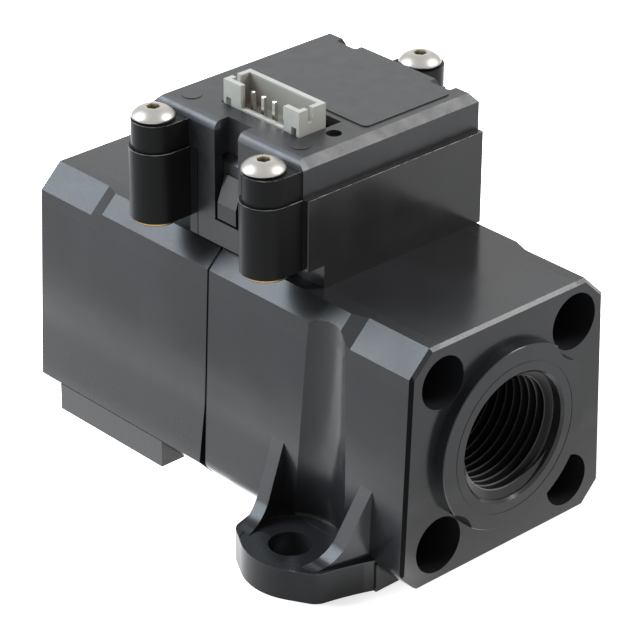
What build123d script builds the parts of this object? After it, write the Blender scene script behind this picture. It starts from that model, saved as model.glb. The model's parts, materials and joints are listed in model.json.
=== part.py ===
from build123d import *
import math
import os

# Airflow sensor, millimetres: origin on the mounting plane under the bore, +X along the flow
os.makedirs("parts", exist_ok=True)

# Flow body
END_X = 35.3                        # end faces of the body
SEAM_X = -1.35                      # joint between the inlet and outlet halves
BORE_Z = 17.8                       # bore axis above the mounting plane
HALF_WIDTH = 17.3                   # half width at the bore axis
SIDE_DRAFT = 2.0                    # degrees, the body narrows upwards
BODY_FLOOR = 1.0
BODY_TOP = 34.6
LOW_CHAMFER = 3.0
TOP_CHAMFER = 2.3                   # between the end flanges
FLANGE_CHAMFER = 3.15
FLANGE_X = 24.6                     # inner end of a flange's wide chamfer
FLANGE_RUNOUT = 2.3
END_EDGE = 0.45
SEAM_GAP = 0.2
SEAM_GROOVE = 0.5                   # depth of the hairline groove at the joint
SEAM_WEDGE = 1.35                   # the groove opens downwards on the inlet side
SEAM_WEDGE_TOP = 14.8
SEAM_WEDGE_DEEP = 1.6

# Threaded ports
BOSS_WALL = 3.9                     # boss outside the mouth
BOSS_HEIGHT = 1.5
BOSS_EDGE = 0.1
SCALLOP_R = 4.55                    # cut round the two wider corner holes
MOUTH_STEP = 0.27                   # smooth mouth outside the thread
MOUTH_DEPTH = 1.6
MOUTH_EDGE = 0.35
THREAD_R = 8.33                     # major radius of the 3/8 pipe thread
THREAD_END_X = 23.8
BORE_STEP = 1.83                    # main bore inside the thread
FACE_RING_STEP = 1.75
FACE_RING_WIDTH = 0.2
FACE_RING_DEEP = 0.05

# Corner holes and the screws that tie the halves
CORNER_R = 3.55
CORNER_WIDE_R = 3.85                # the two holes across one diagonal
CORNER_WALL = 2.25                  # plastic outside a corner hole, at the side
CORNER_ROOF = 1.75                  # and above or below it
TIE_GRIP = 8.0                      # plastic under a tie screw's head
TIE_LENGTH = 16.0
CORE_DEPTH = 20.0                   # plain corner holes in the inlet end

# Feet and mounting ears
PAD_X = 20.4                        # centre of a foot from the middle of the body
PAD_HALF = 10.5
PAD_TOP = 4.0
EAR_X = 20.5
EAR_HOLE_REACH = 5.4                # from the side of the body
EAR_HOLE_R = 2.8
EAR_THICK = 4.4
EAR_TIP_REACH = 12.3                # where the two sloping sides of the tip would meet
EAR_FLANK = [(10.3, -0.3), (8.75, 3.8), (7.7, 7.9)]    # half width and reach along a flank
EAR_NOSE_R = 8.3
EAR_CORNER_R = 2.5
RIB_THICK = 2.0
RIB_LEAN = 15.1                     # degrees, the ribs close in towards the tip
RIB_HALF = 9.1                      # outer face of a rib where it meets the body
RIB_TOP = 17.7                      # the sloping edge's start, inside the body
RIB_SLOPE_END = (3.25, 7.6)         # reach and height where the slope turns into the sweep
RIB_BEND = (5.05, 5.35)
RIB_TOE = 7.9
RIB_ROOT = -1.8
CHANNEL_R = 6.75                    # driver clearance round the ear hole
CHANNEL_FOOT = 0.5
CHANNEL_BLEND = 2.0
SPOT_R = 6.5                        # shallow round seat on the ear
SPOT_DEEP = 0.1

# Sensing path
TAP_R = 0.9
TAP_REACH = 7.2                     # pressure taps either side of the housing centre
TAP_SEAL_R = 2.3
TAP_SEAL_DEPTH = 1.0
RESTRICTOR_STEP = 1.0               # restrictor outside the main bore
RESTRICTOR_LONG = 5.0
PASSAGE_R = 0.95                    # six-sided passages in the restrictor
PASSAGE_PITCH = 2.5
SEAL_STEP = 1.7                     # seal groove outside the restrictor
SEAL_WIDE = 1.8
SEAL_PLAY = 0.1
SEAL_DEPTH = 1.2
SCREEN_STEP = 1.13                  # screens inside the thread
SCREEN_THICK = 0.4
SCREEN_GAP = 1.5
SCREEN_MESH = 1.5
SCREEN_PITCH = 2.1
RETAINER_LONG = 1.5
RETAINER_WALL = 1.2

# Sensor housing
MODULE_X = 0.7                      # middle of the sensor module
HOUSE_HALF = 14.55
MODULE_Y = 15.1
FOOT_TOP = 37.7                     # the housing is set back below this height
FOOT_Y = 12.35
FOOT_PANEL = 7.35                   # half width of the centre panel that reaches down
PANEL_FLOOR = 35.3
HOUSE_TOP = 47.3
HOUSE_FLOOR = 2.5
HOUSE_EDGE = 0.15
SIDE_WALL = 2.5
FRONT_WALL = 3.0
BACK_WALL = 2.0

# Cover
COVER_X0 = -13.4                    # the cover stops short of the housing at both ends
COVER_X1 = 14.3
COVER_TOP = 52.1
COVER_ROOF = 1.3
COVER_BEVEL = 1.0                   # height of the bevel at both ends and at the back
COVER_BEVEL_X0 = 0.95
COVER_BEVEL_X1 = 1.25
COVER_BEVEL_BACK = 0.7
COVER_ROUND = 1.1                   # along the front
COVER_SEAT = 1.05                   # screw heads sit this far below the cover's top
COVER_SIDE = 1.4
COVER_BACK = 2.6
APRON_X0 = -5.1
APRON_X1 = 6.5
APRON_THICK = 1.35
APRON_PLAY = 0.15
WINDOW_X0 = -1.9
WINDOW_X1 = 2.5
WINDOW_FLOOR = 38.65
WINDOW_Y = 12.75
SNAP_GAP = 0.5
LEDGE = 1.0                         # bevel of the housing wall behind the apron
WEDGE_FOOT = 39.0
WEDGE_TIP = 41.2
WEDGE_HEAD = 44.8
NOTCH_XS = (-8.28, 9.0)
NOTCH_DEPTH = 1.85
NOTCH_WIDTH = 3.65
NOTCH_ROUND = 0.4
LABEL_HEIGHT = 0.15                 # bare raised field
LABEL_X0 = -10.4
LABEL_X1 = 11.9
LABEL_Y0 = -2.45
LABEL_Y1 = 12.5
LABEL_ROUND = 0.8
MARK_HEIGHT = 0.08
MARK_R = 1.3
MARK_XS = (-9.9, 10.2)
MARK_Y = -11.8
DIMPLE_R = 1.0
DIMPLE_DEEP = 0.7
DIMPLE_PLACE = (10.42, -6.4)

# Screws with button heads and the three bosses that take them
SCREW_R = 1.5
HEAD_R = 2.85
HEAD_HIGH = 1.65
BUTTON_DOME = [(1, 0.22), (0.9, 0.52), (0.7, 0.78), (0.42, 0.95), (0.16, 1)]
CAP_DOME = [(1, 1)]
TIE_HEAD = 3.0
HEX_WIDE = 2.0
HEX_DEEP = 1.0
SCREW_PLAY = 0.2
BOSS_REACH = 10.35
BOSS_Y = 18.2
COVER_BOSS_R = 3.04
HOUSE_BOSS_R = 3.34
COVER_SCREW = 12.0
INSERT_R = 2.3
INSERT_LONG = 6.0
INSERT_RIM_R = 3.0
INSERT_RIM = 0.4
HOUSE_SCREW_R = 1.25
HOUSE_SCREW = 8.0
HOUSE_HEAD_R = 2.25
HOUSE_HEAD = 1.4
HOUSE_HEX_WIDE = 1.5
HOUSE_HEX_DEEP = 0.8
HOUSE_SCREW_XS = (-8.9, 4.3)
HOUSE_SCREW_Y = 5.2

# Electronics
BOARD_FLOOR = 47.65
BOARD_THICK = 1.6
BOARD_HALF = 11.6
BOARD_Y0 = -11.7
BOARD_Y1 = 12.1
BLOCK_END = 1.7                     # block beyond the middle of a tap
BLOCK_Y = 2.5
GASKET = 0.6
TRACK_HALF = 0.8                    # flow track across the top of the block
TRACK_DEEP = 1.2
SLOT_WIDE = 2.4
SLOT_PLAY = 0.2
CHIP = 1.8
CHIP_THICK = 0.5
AMP_HALF = 3.0
AMP_Y = (1.5, 6.5)
AMP_THICK = 1.2
CAP_HALF = 1.0
CAP_Y = (8.4, 9.65)
CAP_THICK = 0.9
CAP_STEP = 4.0
POST_R = 1.3
POST_X = 9.8
POST_Y = 10.0

# Connector
HEADER_X = 1.26
HEADER_Y = -7.95
HEADER_LONG = 13.9
HEADER_WIDE = 4.5
HEADER_HIGH = 6.0
HEADER_WALL = 0.75
HEADER_FLOOR = 2.0
HEADER_SILL = 2.95
HEADER_PLAY = 0.25
OPENING_RIGHT = 0.4                 # the cover's opening beyond the connector
OPENING_BACK = -3.4
KEY_Y = (-8.7, -7.9)                # groove across both end walls
KEY_FLOOR = 4.1
HATCH_STEPS = (0.5, 12.5)           # small openings low in the two front walls
HATCH_WIDE = 0.9
HATCH_Z = (2.2, 3.7)
RETURN_LEFT = 3.2                   # front walls either side of the open middle
RETURN_RIGHT = 2.8
PIN_PITCH = 2.0
PIN_COUNT = 6
PIN_WIDE = 0.5
PIN_Y = -8.75
PIN_TOP = 54.4
PIN_TAIL = 1.0
PIN_POINT = 0.14
PIN_HOLE_R = 0.4

mouth_r = THREAD_R + MOUTH_STEP
bore_r = THREAD_R - BORE_STEP
restrictor_r = bore_r + RESTRICTOR_STEP
screen_r = THREAD_R - SCREEN_STEP
retainer_r = screen_r - RETAINER_WALL


def block(x0, x1, y0, y1, z0, z1):
    return Pos((x0 + x1) / 2, (y0 + y1) / 2, (z0 + z1) / 2) * Box(x1 - x0, y1 - y0, z1 - z0)


def rod(x, y, z0, z1, radius):
    return Pos(x, y, (z0 + z1) / 2) * Cylinder(radius, z1 - z0)


def rod_x(x0, x1, y, z, radius):
    return Pos((x0 + x1) / 2, y, z) * Rot(0, 90, 0) * Cylinder(radius, x1 - x0)


def ring(x, y, z0, z1, outer, inner):
    return rod(x, y, z0, z1, outer) - rod(x, y, z0 - 1, z1 + 1, inner)


def ring_x(x0, x1, y, z, outer, inner):
    return rod_x(x0, x1, y, z, outer) - rod_x(x0 - 1, x1 + 1, y, z, inner)


# Drawing plane across the flow, with Y to the right and Z up
def across(x):
    return Plane(origin=(x, 0, 0), x_dir=(0, 1, 0), z_dir=(1, 0, 0))


def side_y(z):
    return HALF_WIDTH - math.tan(math.radians(SIDE_DRAFT)) * (z - BORE_Z)


# Places and radii of the corner holes; side is +1 at the outlet end and -1 at the inlet end
def corners(side):
    half_y = HALF_WIDTH - CORNER_WALL - CORNER_R
    half_z = (BODY_TOP - BODY_FLOOR) / 2 - CORNER_ROOF - CORNER_R
    places = [(y, z) for y in (-half_y, half_y) for z in (-half_z, half_z)]
    return [(y, BORE_Z + z, CORNER_WIDE_R if side * y * z > 0 else CORNER_R) for y, z in places]


# Cross-section of the body across the flow
def body_section(x, chamfer):
    half = [
        (side_y(BODY_FLOOR) - LOW_CHAMFER, BODY_FLOOR),
        (side_y(BODY_FLOOR + LOW_CHAMFER), BODY_FLOOR + LOW_CHAMFER),
        (side_y(BODY_TOP - chamfer), BODY_TOP - chamfer),
        (side_y(BODY_TOP) - chamfer, BODY_TOP),
    ]
    points = half + [(-y, z) for y, z in reversed(half)]
    return across(x) * make_face(Polyline(*points, close=True))


# Outline of an ear seen from above, from inside the body out to the tip
def ear_outline():
    flank = [(x, -HALF_WIDTH - reach) for x, reach in EAR_FLANK]
    left = [(-x, y) for x, y in flank]
    tip = (0, -HALF_WIDTH - EAR_TIP_REACH)
    root_y = -HALF_WIDTH / 2
    lines = ThreePointArc(*flank)
    lines += Polyline(flank[2], tip, left[2])
    lines += ThreePointArc(*reversed(left))
    lines += Polyline(left[0], (left[0][0], root_y), (flank[0][0], root_y), flank[0])
    face = make_face(lines)
    nose = [v for v in face.vertices() if abs(v.Y - tip[1]) < 0.01]
    face = fillet(nose, EAR_NOSE_R)
    tips = [v for v in face.vertices() if abs(v.Y - flank[2][1]) < 0.01]
    return fillet(tips, EAR_CORNER_R)


# Two leaning gussets from the side of the body down to the ear
def ear_ribs():
    slope_end, bend = [(-HALF_WIDTH - reach, z) for reach, z in (RIB_SLOPE_END, RIB_BEND)]
    root_y = -HALF_WIDTH - RIB_ROOT
    toe_y = -HALF_WIDTH - RIB_TOE
    start = (root_y, RIB_TOP)
    low = EAR_THICK / 2
    lines = Line(start, slope_end)
    lines += ThreePointArc(slope_end, bend, (toe_y, EAR_THICK))
    lines += Polyline((toe_y, EAR_THICK), (toe_y, low), (root_y, low), start)
    wedge = extrude(across(-EAR_X) * make_face(lines), 2 * EAR_X)
    lean = math.tan(math.radians(RIB_LEAN))
    thick = RIB_THICK / math.cos(math.radians(RIB_LEAN))
    root_x = RIB_HALF - lean * RIB_ROOT
    toe_x = RIB_HALF - lean * RIB_TOE
    plan = [(root_x, root_y), (toe_x, toe_y), (toe_x - thick, toe_y), (root_x - thick, root_y)]
    ribs = Part()
    for side in (-1, 1):
        face = make_face(Polyline(*[(side * x, y) for x, y in plan], close=True))
        ribs += wedge & extrude(face, BODY_TOP)
    return ribs


# One half of the body with its port, foot and ear, drawn as the outlet half
def body_half(seam):
    runout = FLANGE_X - FLANGE_RUNOUT
    body = extrude(body_section(seam, TOP_CHAMFER), runout - seam)
    body += loft([body_section(runout, TOP_CHAMFER), body_section(FLANGE_X, FLANGE_CHAMFER)])
    body += extrude(body_section(FLANGE_X, FLANGE_CHAMFER), END_X - FLANGE_X)
    body = chamfer(body.faces().sort_by(Axis.X)[-1].edges(), END_EDGE)

    # Hairline groove all round the joint
    groove = block(seam - 1, seam + SEAM_GAP / 2, -30, 30, -5, 50)
    core = Pos(0, 0, BORE_Z) * Box(8, 2 * (HALF_WIDTH - 1.2), BODY_TOP - BODY_FLOOR - 2 * SEAM_GROOVE)
    body -= groove - Pos(seam, 0, 0) * core

    # Foot, ear and driver channel
    wide = side_y(PAD_TOP - 0.1)
    pad = block(PAD_X - PAD_HALF, PAD_X + PAD_HALF, -wide, wide, 0, PAD_TOP - 0.1)
    hole_y = -HALF_WIDTH - EAR_HOLE_REACH
    channel = rod(EAR_X, hole_y, EAR_THICK, BODY_TOP + 5, CHANNEL_R)
    body -= fillet(channel.edges().sort_by(Axis.Z)[0], CHANNEL_FOOT)
    reach = [e for e in body.edges().filter_by(GeomType.LINE)
             if e.length > BODY_TOP / 2 and abs(e.center().X - EAR_X) < CHANNEL_R and e.center().Y < 0]
    body = fillet(reach, CHANNEL_BLEND)
    body += pad
    ear = Pos(EAR_X, 0, 0) * extrude(ear_outline(), EAR_THICK)
    body += ear - rod(EAR_X, hole_y, EAR_THICK - SPOT_DEEP, EAR_THICK + 1, SPOT_R)
    body += Pos(EAR_X, 0, 0) * ear_ribs()
    body -= rod(EAR_X, hole_y, -1, EAR_THICK + 1, EAR_HOLE_R)

    # Port boss, scalloped round the two wider corner holes
    boss = rod_x(END_X - 1, END_X + BOSS_HEIGHT, 0, BORE_Z, mouth_r + BOSS_WALL)
    boss = chamfer(boss.edges().sort_by(Axis.X)[-1], BOSS_EDGE)
    for y, z, radius in corners(1):
        if radius > CORNER_R:
            boss -= rod_x(END_X, END_X + 5, y, z, SCALLOP_R)
    body += boss
    face_x = END_X + BOSS_HEIGHT
    ring_r = mouth_r + FACE_RING_STEP
    body -= ring_x(face_x - FACE_RING_DEEP, face_x + 1, 0, BORE_Z, ring_r, ring_r - FACE_RING_WIDTH)

    # Port, from the smooth mouth through the thread to the bore
    lead_x = face_x - MOUTH_DEPTH - MOUTH_STEP
    body -= rod_x(face_x - MOUTH_DEPTH, face_x + 1, 0, BORE_Z, mouth_r)
    mouth_edge = Rot(0, 90, 0) * Cone(mouth_r, mouth_r + 2 * MOUTH_EDGE, 2 * MOUTH_EDGE)
    body -= Pos(face_x, 0, BORE_Z) * mouth_edge
    lead = Rot(0, 90, 0) * Cone(THREAD_R, mouth_r, MOUTH_STEP)
    body -= Pos(lead_x + MOUTH_STEP / 2, 0, BORE_Z) * lead
    body -= rod_x(THREAD_END_X, lead_x, 0, BORE_Z, THREAD_R)
    body -= rod_x(seam - 1, THREAD_END_X + 1, 0, BORE_Z, bore_r)

    # Seat of the flow restrictor and the pressure tap
    body -= rod_x(seam - 1, seam + RESTRICTOR_LONG / 2, 0, BORE_Z, restrictor_r)
    return body


def cut_tap(body, x):
    body -= rod(x, 0, BORE_Z, BODY_TOP + 1, TAP_R)
    return body - rod(x, 0, BODY_TOP - TAP_SEAL_DEPTH, BODY_TOP + 1, TAP_SEAL_R)


# Socket screw standing on z = 0 with its shank below; the dome lists the head's outline
def socket_screw(shank_r, length, head_r, head_high, hex_wide, hex_deep, dome):
    outline = [(0, 0), (head_r, 0)]
    outline += [(head_r * across, head_high * up) for across, up in dome]
    outline += [(0, head_high)]
    head = revolve(Plane.XZ * make_face(Polyline(*outline, close=True)), Axis.Z)
    hexagon = RegularPolygon(hex_wide / math.sqrt(3), 6)
    head -= Pos(0, 0, head_high - hex_deep) * extrude(hexagon, hex_deep + 1)
    return head + rod(0, 0, -length, 0, shank_r)


# Flow body, outlet side
outlet_body = body_half(SEAM_X)
tie_head_x = SEAM_X + TIE_GRIP
for y, z, radius in corners(1):
    outlet_body -= rod_x(tie_head_x, END_X + 5, y, z, radius)
    outlet_body -= rod_x(SEAM_X - 1, tie_head_x + 1, y, z, SCREW_R + SCREW_PLAY)
outlet_body = cut_tap(outlet_body, MODULE_X + TAP_REACH)

# Flow body, inlet side: the same moulding turned half a turn, with the seal and screens
inlet_body = Rot(0, 0, 180) * body_half(-SEAM_X)
insert_end = SEAM_X - INSERT_LONG
for y, z, radius in corners(-1):
    inlet_body -= rod_x(insert_end, SEAM_X + 1, y, z, INSERT_R)
    inlet_body -= rod_x(SEAM_X - TIE_LENGTH + TIE_GRIP - 2, insert_end + 1, y, z, SCREW_R + SCREW_PLAY)
    inlet_body -= rod_x(-END_X - 5, -END_X + CORE_DEPTH, y, z, radius)
seal_inner = restrictor_r + SEAL_STEP
seal_outer = seal_inner + SEAL_WIDE
inlet_body -= ring_x(SEAM_X - SEAL_DEPTH, SEAM_X + 1, 0, BORE_Z, seal_outer, seal_inner)
screen_x = -THREAD_END_X + RETAINER_LONG + 2 * SCREEN_THICK + SCREEN_GAP
inlet_body -= rod_x(-THREAD_END_X - 0.5, screen_x, 0, BORE_Z, screen_r)
inlet_body = cut_tap(inlet_body, MODULE_X - TAP_REACH)
seam_points = [(SEAM_X + 1, SEAM_WEDGE_TOP), (SEAM_X, SEAM_WEDGE_TOP), (SEAM_X - SEAM_WEDGE, 0),
               (SEAM_X + 1, 0)]
seam_face = Plane.XZ * make_face(Polyline(*seam_points, close=True))
for y in (-HALF_WIDTH + SEAM_WEDGE_DEEP, HALF_WIDTH + 5):
    inlet_body -= Pos(0, y, 0) * extrude(seam_face, SEAM_WEDGE_DEEP + 5)

body_seal = ring_x(SEAM_X - SEAL_DEPTH, SEAM_X, 0, BORE_Z, seal_outer - SEAL_PLAY, seal_inner + SEAL_PLAY)

# Flow restrictor, a disc of straight passages held between the halves
half_long = RESTRICTOR_LONG / 2
flow_restrictor = rod_x(SEAM_X - half_long, SEAM_X + half_long, 0, BORE_Z, restrictor_r)
passage = extrude(Plane.YZ * RegularPolygon(PASSAGE_R, 6), 2 * RESTRICTOR_LONG, both=True)
for row in range(-2, 3):
    for col in range(5 - abs(row)):
        y = PASSAGE_PITCH * (col - (4 - abs(row)) / 2)
        z = BORE_Z + PASSAGE_PITCH * row * math.sqrt(3) / 2
        flow_restrictor -= Pos(SEAM_X, y, z) * passage


# Inlet screen, a thin disc pierced by square holes
def screen(x0):
    disc = rod_x(x0, x0 + SCREEN_THICK, 0, BORE_Z, screen_r)
    for row in range(-2, 3):
        for col in range(-2, 3):
            y, z = col * SCREEN_PITCH, row * SCREEN_PITCH
            if math.hypot(abs(y) + SCREEN_MESH / 2, abs(z) + SCREEN_MESH / 2) < retainer_r:
                half = SCREEN_MESH / 2
                disc -= block(x0 - 1, x0 + 1, y - half, y + half, BORE_Z + z - half, BORE_Z + z + half)
    return disc


screen_inner_x = screen_x - SCREEN_THICK
screen_outer_x = screen_inner_x - SCREEN_GAP - SCREEN_THICK
inlet_screen_inner = screen(screen_inner_x)
inlet_screen_outer = screen(screen_outer_x)
screen_spacer = ring_x(screen_inner_x - SCREEN_GAP, screen_inner_x, 0, BORE_Z, screen_r, retainer_r)
screen_retainer = ring_x(-THREAD_END_X, screen_outer_x, 0, BORE_Z, screen_r, retainer_r)

tap_seals = {}
for name, x in (("upstream", MODULE_X - TAP_REACH), ("downstream", MODULE_X + TAP_REACH)):
    tap_seals[name] = ring(x, 0, BODY_TOP - TAP_SEAL_DEPTH, BODY_TOP, TAP_SEAL_R, TAP_R)

# Screws between halves, and their brass inserts
tie_screw = socket_screw(SCREW_R, TIE_LENGTH, HEAD_R, TIE_HEAD, HEX_WIDE, HEX_DEEP, CAP_DOME)
tie_screws = []
tie_inserts = []
for y, z, radius in corners(1):
    tie_screws.append(Pos(tie_head_x, y, z) * Rot(0, 90, 0) * tie_screw)
    tie_inserts.append(ring_x(insert_end, SEAM_X, y, z, INSERT_R, SCREW_R))

# Bosses of the cover screws: two in front, one at the back
boss_places = [(MODULE_X - BOSS_REACH, -1), (MODULE_X + BOSS_REACH, -1), (MODULE_X, 1)]
cover_seat = COVER_TOP - COVER_SEAT


def bosses(radius, z0, z1, inner_y):
    solid = Part()
    for x, side in boss_places:
        y = side * BOSS_Y
        low, high = sorted((side * inner_y, y))
        solid += rod(x, y, z0, z1, radius) + block(x - radius, x + radius, low, high, z0, z1)
    return solid


# Sensor housing: open box with floor, posts, bosses and the snap wedge in front
house_x0 = MODULE_X - HOUSE_HALF
house_x1 = MODULE_X + HOUSE_HALF
sensor_housing = block(house_x0, house_x1, -MODULE_Y, MODULE_Y, BODY_TOP, HOUSE_TOP)
sensor_housing = fillet(sensor_housing.edges().filter_by(Axis.Z), HOUSE_EDGE)
for x0, x1 in ((house_x0 - 1, MODULE_X - FOOT_PANEL), (MODULE_X + FOOT_PANEL, house_x1 + 1)):
    sensor_housing -= block(x0, x1, -MODULE_Y - 1, -FOOT_Y, BODY_TOP - 1, FOOT_TOP)
sensor_housing -= block(house_x0, house_x1, -MODULE_Y - 1, -FOOT_Y, BODY_TOP - 1, PANEL_FLOOR)
sensor_housing += bosses(HOUSE_BOSS_R, FOOT_TOP, HOUSE_TOP, MODULE_Y - 0.5)
room_floor = BODY_TOP + HOUSE_FLOOR
sensor_housing -= block(house_x0 + SIDE_WALL, house_x1 - SIDE_WALL, -MODULE_Y + FRONT_WALL,
                        MODULE_Y - BACK_WALL, room_floor, HOUSE_TOP + 1)
pocket_y = -MODULE_Y + APRON_THICK + 0.1
sensor_housing -= block(APRON_X0 - APRON_PLAY, APRON_X1 + APRON_PLAY, -MODULE_Y - 1, pocket_y,
                        PANEL_FLOOR - 1, HOUSE_TOP + 1)
ledge_points = [(pocket_y - 1, HOUSE_TOP - LEDGE), (pocket_y, HOUSE_TOP - LEDGE),
                (pocket_y + LEDGE, HOUSE_TOP), (pocket_y - 1, HOUSE_TOP)]
ledge_face = across(APRON_X0 - APRON_PLAY) * make_face(Polyline(*ledge_points, close=True))
sensor_housing -= extrude(ledge_face, APRON_X1 - APRON_X0 + 2 * APRON_PLAY)
wedge_points = [(pocket_y + 0.5, WEDGE_FOOT), (-MODULE_Y, WEDGE_FOOT), (-MODULE_Y, WEDGE_TIP),
                (pocket_y - 0.2, WEDGE_HEAD), (pocket_y + 0.5, WEDGE_HEAD)]
wedge_x0 = WINDOW_X0 + SNAP_GAP
wedge_face = across(wedge_x0) * make_face(Polyline(*wedge_points, close=True))
sensor_housing += extrude(wedge_face, WINDOW_X1 - SNAP_GAP - wedge_x0)
for x in (-POST_X, POST_X):
    for y in (-POST_Y, POST_Y):
        sensor_housing += rod(MODULE_X + x, y, room_floor - 1, BOARD_FLOOR, POST_R)
for x, side in boss_places:
    y = side * BOSS_Y
    sensor_housing -= rod(x, y, FOOT_TOP - 1, HOUSE_TOP + 1, SCREW_R + SCREW_PLAY)
    sensor_housing -= rod(x, y, FOOT_TOP - 1, FOOT_TOP + INSERT_LONG, INSERT_R)
house_screw_places = [(x, y) for x in HOUSE_SCREW_XS for y in (-HOUSE_SCREW_Y, HOUSE_SCREW_Y)]
for x, y in house_screw_places:
    sensor_housing -= rod(x, y, BODY_TOP - 1, room_floor + 1, HOUSE_SCREW_R + SCREW_PLAY)
for x in (MODULE_X - TAP_REACH, MODULE_X + TAP_REACH):
    sensor_housing -= rod(x, 0, BODY_TOP - 1, room_floor + 1, TAP_R)

# Holes in the body tops for the housing screws
screw_hole_floor = room_floor - HOUSE_SCREW - 1
for x, y in house_screw_places:
    hole = rod(x, y, screw_hole_floor, BODY_TOP + 1, HOUSE_SCREW_R)
    if x > SEAM_X:
        outlet_body -= hole
    else:
        inlet_body -= hole
house_screw = socket_screw(HOUSE_SCREW_R, HOUSE_SCREW, HOUSE_HEAD_R, HOUSE_HEAD, HOUSE_HEX_WIDE,
                           HOUSE_HEX_DEEP, CAP_DOME)
housing_screws = [Pos(x, y, room_floor) * house_screw for x, y in house_screw_places]

# Bypass block that carries the sensed flow up to the chip
block_top = BOARD_FLOOR - GASKET
block_half = TAP_REACH + BLOCK_END
bypass_block = block(MODULE_X - block_half, MODULE_X + block_half, -BLOCK_Y, BLOCK_Y, room_floor, block_top)
for x in (MODULE_X - TAP_REACH, MODULE_X + TAP_REACH):
    bypass_block -= rod(x, 0, room_floor - 1, block_top + 1, TAP_R)
bypass_block -= block(MODULE_X - TAP_REACH, MODULE_X + TAP_REACH, -TRACK_HALF, TRACK_HALF,
                      block_top - TRACK_DEEP, block_top + 1)

slot_half = TAP_REACH + TAP_R + SLOT_PLAY
chip_gasket = block(MODULE_X - block_half, MODULE_X + block_half, -BLOCK_Y, BLOCK_Y, block_top, BOARD_FLOOR)
chip_gasket -= block(MODULE_X - slot_half, MODULE_X + slot_half, -SLOT_WIDE / 2, SLOT_WIDE / 2,
                     block_top - 1, BOARD_FLOOR + 1)
flow_chip = Pos(MODULE_X, 0, BOARD_FLOOR - CHIP_THICK / 2) * Box(CHIP, CHIP, CHIP_THICK)

# Circuit board and what stands on it
board_top = BOARD_FLOOR + BOARD_THICK
board_limits = (MODULE_X - BOARD_HALF, MODULE_X + BOARD_HALF, BOARD_Y0, BOARD_Y1)
circuit_board = block(*board_limits, BOARD_FLOOR, board_top)
pin_xs = [HEADER_X + PIN_PITCH * (k - (PIN_COUNT - 1) / 2) for k in range(PIN_COUNT)]
half_pin = PIN_WIDE / 2
for x in pin_xs:
    circuit_board -= rod(x, PIN_Y, BOARD_FLOOR - 1, board_top + 1, PIN_HOLE_R)
amplifier_chip = block(MODULE_X - AMP_HALF, MODULE_X + AMP_HALF, *AMP_Y, board_top, board_top + AMP_THICK)
board_capacitors = []
for k in (-1, 0, 1):
    x = MODULE_X + k * CAP_STEP
    board_capacitors.append(block(x - CAP_HALF, x + CAP_HALF, *CAP_Y, board_top, board_top + CAP_THICK))

# Connector shell, open in the middle of its front wall
header_x0 = HEADER_X - HEADER_LONG / 2
header_x1 = HEADER_X + HEADER_LONG / 2
header_y0 = HEADER_Y - HEADER_WIDE / 2
header_y1 = HEADER_Y + HEADER_WIDE / 2
header_top = board_top + HEADER_HIGH
header_housing = block(header_x0, header_x1, header_y0, header_y1, board_top, header_top)
header_housing -= block(header_x0 + HEADER_WALL, header_x1 - HEADER_WALL, header_y0 + HEADER_WALL,
                        header_y1 - HEADER_WALL, board_top + HEADER_FLOOR, header_top + 1)
header_housing -= block(header_x0 + RETURN_LEFT, header_x1 - RETURN_RIGHT, header_y0 - 1, header_y0 + 1,
                        board_top + HEADER_SILL, header_top + 1)
header_housing -= block(header_x0 - 1, header_x1 + 1, *KEY_Y, board_top + KEY_FLOOR, header_top + 1)
for step in HATCH_STEPS:
    x = header_x0 + step
    header_housing -= block(x, x + HATCH_WIDE, header_y0 - 1, header_y0 + 1,
                            board_top + HATCH_Z[0], board_top + HATCH_Z[1])
header_pins = []
for x in pin_xs:
    header_housing -= block(x - half_pin, x + half_pin, PIN_Y - half_pin, PIN_Y + half_pin,
                            board_top - 1, board_top + HEADER_FLOOR + 1)
    pin = block(x - half_pin, x + half_pin, PIN_Y - half_pin, PIN_Y + half_pin,
                BOARD_FLOOR - PIN_TAIL, PIN_TOP)
    header_pins.append(chamfer(pin.faces().sort_by(Axis.Z)[-1].edges(), PIN_POINT))

# Cover with its apron, window, notches, connector opening and raised field
bevel_z = COVER_TOP - COVER_BEVEL
end_points = [(COVER_X0, HOUSE_TOP), (COVER_X0, bevel_z), (COVER_X0 + COVER_BEVEL_X0, COVER_TOP),
              (COVER_X1 - COVER_BEVEL_X1, COVER_TOP), (COVER_X1, bevel_z), (COVER_X1, HOUSE_TOP)]
side_points = [(-MODULE_Y, HOUSE_TOP), (-MODULE_Y, COVER_TOP), (MODULE_Y - COVER_BEVEL_BACK, COVER_TOP),
               (MODULE_Y, bevel_z), (MODULE_Y, HOUSE_TOP)]
end_face = Plane(origin=(0, MODULE_Y, 0), x_dir=(1, 0, 0), z_dir=(0, -1, 0)) * make_face(
    Polyline(*end_points, close=True))
side_face = across(COVER_X0) * make_face(Polyline(*side_points, close=True))
side_solid = extrude(side_face, COVER_X1 - COVER_X0)
front_edges = side_solid.faces().sort_by(Axis.Y)[0].edges()
top_cover = extrude(end_face, 2 * MODULE_Y) & fillet(front_edges.sort_by(Axis.Z)[-1], COVER_ROUND)
top_cover += bosses(COVER_BOSS_R, HOUSE_TOP, cover_seat, MODULE_Y - 0.5)
top_cover += block(APRON_X0, APRON_X1, -MODULE_Y, -MODULE_Y + APRON_THICK, PANEL_FLOOR, HOUSE_TOP + 1)
top_cover -= block(COVER_X0 + COVER_SIDE, COVER_X1 - COVER_SIDE, -MODULE_Y + FRONT_WALL,
                   MODULE_Y - COVER_BACK, HOUSE_TOP - 1, COVER_TOP - COVER_ROOF)
window = block(WINDOW_X0, WINDOW_X1, -MODULE_Y - 1, -WINDOW_Y, WINDOW_FLOOR, COVER_TOP + 1)
top_cover -= window
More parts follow.
